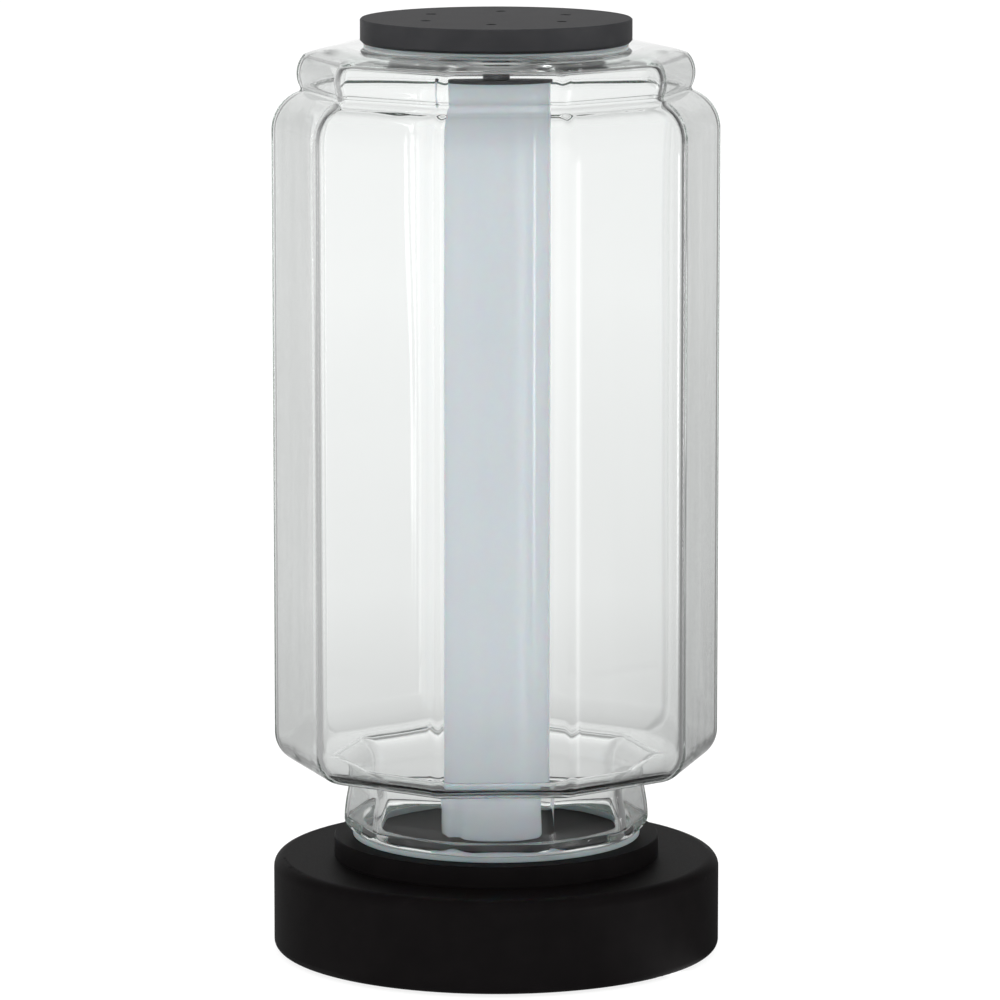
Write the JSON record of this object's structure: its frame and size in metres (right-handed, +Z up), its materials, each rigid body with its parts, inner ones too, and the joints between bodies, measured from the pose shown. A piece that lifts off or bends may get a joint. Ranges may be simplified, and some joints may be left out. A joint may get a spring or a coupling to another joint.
{
  "type": "table lamp",
  "caption": "Table lamp with a tall ten-sided clear glass jar on a round black base, an opal light tube inside it and a screw-on vented cap.",
  "frame": {"origin": "on the table, under the middle of the base", "axes": "+Z up the lamp's axis, -Y towards the front, the mains inlet at +Y"},
  "size_m": [0.175, 0.1762, 0.3666],
  "materials": {
    "black_lacquer": "fine-grained satin black lacquer",
    "anthracite_lacquer": "fine-grained satin anthracite lacquer",
    "black_plate": "thin black paint on sheet steel",
    "zinc_steel": "zinc-plated",
    "dark_steel": "black-nickel plated",
    "black_felt": "pressed felt",
    "black_rubber": "moulded rubber",
    "silicone": "translucent silicone",
    "clear_glass": "mould-blown, polished",
    "opal_acrylic": "polished opal acrylic",
    "black_plastic": "moulded",
    "raw_aluminium": "extruded",
    "white_circuit": "solder mask",
    "phosphor": "chip phosphor in white frames",
    "white_plastic": "moulded",
    "clear_white_plastic": "moulded",
    "brass": "bare",
    "red_pvc": "insulation",
    "black_pvc": "insulation",
    "brown_pvc": "insulation",
    "blue_pvc": "insulation",
    "green_yellow_pvc": "insulation"
  },
  "bodies": {
    "lamp": {"base_shell": "black_lacquer", "base_plate": "black_plate", "base_plate_screws": "zinc_steel", "foot_pads": "black_felt", "inlet_grommet": "black_rubber", "collar": "black_lacquer", "lower_gasket": "silicone", "glass_shade": "clear_glass", "stem": "dark_steel", "stem_nuts": "zinc_steel", "stem_washer": "zinc_steel", "tube_seat": "black_plastic", "diffuser_tube": "opal_acrylic", "tube_end_cap": "black_plastic", "led_core": "raw_aluminium", "led_strips": "white_circuit", "led_chips": "phosphor", "driver_case": "white_plastic", "driver_lid": "white_plastic", "driver_screws": "zinc_steel", "terminal_block": "clear_white_plastic", "terminal_screws": "brass", "earth_tag": "brass", "earth_screw": "zinc_steel", "led_lead_positive": "red_pvc", "led_lead_negative": "black_pvc", "mains_lead_live": "brown_pvc", "mains_lead_neutral": "blue_pvc", "earth_lead": "green_yellow_pvc"},
    "gasket_ring": {"upper_gasket": "silicone"},
    "cap": {"top_cap": "anthracite_lacquer"}
  },
  "joints": [
    {"name": "cap_rise", "type": "slide", "parent": "lamp", "child": "gasket_ring", "axis": [0, 0, 1], "range_m": [0, 0.00601]},
    {"name": "cap_turn", "type": "hinge", "parent": "gasket_ring", "child": "cap", "pos_m": [0, 0, 0.3573], "axis": [0, 0, 1], "range_deg": [0, 2160]}
  ],
  "couplings": [
    {"joint": "cap_rise", "follows": "cap_turn", "m_per_rad": 0.00015915}
  ]
}
